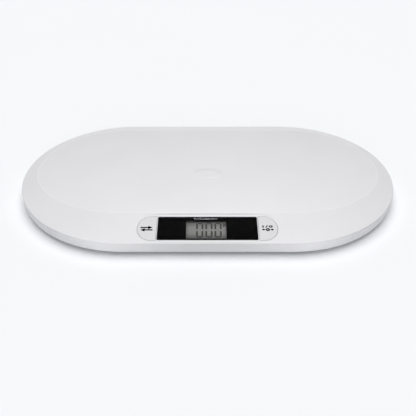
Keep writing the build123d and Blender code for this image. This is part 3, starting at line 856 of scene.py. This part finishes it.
# Strengths of the light from all round. The backdrop is only what the camera sees.
front_fill = 0.12
back_fill = 0.06
horizon_band = 0.8
horizon_band_front = 0.35
band_low = radians(12)
band_high = radians(34)
backdrop_strength = 0.94

camera_lens = 67.52
camera_sensor = 36
camera_side = 0.7 * MM
camera_distance = 1.1666
camera_elevation = radians(32.69)
camera_tilt = radians(55.145)


def floor():
    """A wide pale floor."""
    steps = floor_steps
    line = np.linspace(-floor_half, floor_half, steps + 1)
    vertices = [(x, y, 0) for y in line for x in line]
    faces = []
    for row in range(steps):
        for column in range(steps):
            start = row * (steps + 1) + column
            faces.append((start, start + 1, start + steps + 2, start + steps + 1))
    pale = surface("floor_paper", (0.925, 0.935, 0.95), 0.9, tone=0.003, patch=0.4, depth=0.005 * MM)
    ground = piece("floor", vertices, faces, pale, body=None)
    return ground


def sky():
    """A faint light, stronger in front, with a bright band round the horizon and a pale backdrop."""
    world = bpy.data.worlds.new("studio")
    bpy.context.scene.world = world
    world.use_nodes = True
    tree = world.node_tree
    nodes, links = tree.nodes, tree.links
    background = nodes["Background"]
    background.inputs["Color"].default_value = (0.985, 0.99, 1.0, 1)
    direction = nodes.new("ShaderNodeTexCoord")
    split = nodes.new("ShaderNodeSeparateXYZ")
    links.new(direction.outputs["Generated"], split.inputs["Vector"])
    fill = span(tree, split.outputs["Y"], -0.8, 0.3, front_fill, back_fill)
    band = span(tree, split.outputs["Z"], sin(band_low), sin(band_high), horizon_band, 0)
    behind = nodes.new("ShaderNodeMath")
    behind.operation = "MULTIPLY"
    links.new(band, behind.inputs[0])
    links.new(span(tree, split.outputs["Y"], -0.7, 0.3, horizon_band_front, 1), behind.inputs[1])
    around = nodes.new("ShaderNodeMath")
    links.new(fill, around.inputs[0])
    links.new(behind.outputs["Value"], around.inputs[1])
    path = nodes.new("ShaderNodeLightPath")
    backdrop = span(tree, path.outputs["Is Camera Ray"], 0, 1, 0, backdrop_strength)
    brighter = nodes.new("ShaderNodeMath")
    brighter.operation = "MAXIMUM"
    links.new(around.outputs["Value"], brighter.inputs[0])
    links.new(backdrop, brighter.inputs[1])
    links.new(brighter.outputs["Value"], background.inputs["Strength"])


def lamp(name, kind, power, place_at, aim, ground, on_ground):
    """A soft light that the camera doesn't see, on the floor only or on everything but the floor."""
    data = bpy.data.lights.new(name, kind)
    data.energy = power
    thing = bpy.data.objects.new(name, data)
    bpy.context.scene.collection.objects.link(thing)
    thing.location = place_at
    thing.rotation_euler = (Vector(aim) - Vector(place_at)).to_track_quat("-Z", "Y").to_euler()
    thing.visible_camera = False
    lit = bpy.data.collections.new(f"{name}_lit")
    lit.objects.link(ground)
    lit.collection_objects[0].light_linking.link_state = "INCLUDE" if on_ground else "EXCLUDE"
    thing.light_linking.receiver_collection = lit
    return data


def panel_lamp(name, power, place_at, aim, size, ground):
    """A rectangular softbox on everything but the floor."""
    box = lamp(name, "AREA", power, place_at, aim, ground, False)
    box.shape = "RECTANGLE"
    box.size, box.size_y = size


def broad_lamp(name, light, lean, width, ground, on_ground):
    """A broad light from far away, leaning from overhead to the back by an angle in degrees."""
    toward = (0, sin(radians(lean)), cos(radians(lean)))
    broad = lamp(name, "SUN", pi * light / cos(radians(lean)), toward, (0, 0, 0), ground, on_ground)
    broad.angle = radians(width)


def lamps(ground):
    """The light on the scale, mostly from above and behind, and an even light on the floor."""
    broad_lamp("scale_lamp", light=0.485, lean=24, width=45, ground=ground, on_ground=False)
    panel_lamp(
        "front_softbox", power=1.4, place_at=(0, -0.15, 0.62), aim=(0, -0.15, 0),
        size=(0.45, 0.3), ground=ground,
    )
    for side in (-1, 1):
        panel_lamp(
            "wall_softbox", power=0.03,
            place_at=(side * 0.15, -0.26, 0.035), aim=(side * 0.15, -0.16, 0.012),
            size=(0.06, 0.03), ground=ground,
        )
    broad_lamp("floor_top_lamp", light=0.675, lean=6, width=60, ground=ground, on_ground=True)
    broad_lamp("floor_front_lamp", light=0.17, lean=-60, width=80, ground=ground, on_ground=True)


def camera():
    """Looks down at the scale over its front edge."""
    data = bpy.data.cameras.new("camera")
    data.sensor_width = camera_sensor
    data.lens = camera_lens
    thing = bpy.data.objects.new("camera", data)
    bpy.context.scene.collection.objects.link(thing)
    back = camera_distance * cos(camera_elevation)
    rise = camera_distance * sin(camera_elevation)
    thing.location = (camera_side, -back, edge_height + rise)
    thing.rotation_euler = (camera_tilt, 0, 0)
    bpy.context.scene.camera = thing


ground = floor()
sky()
lamps(ground)
camera()
bpy.context.scene.view_settings.view_transform = "Standard"
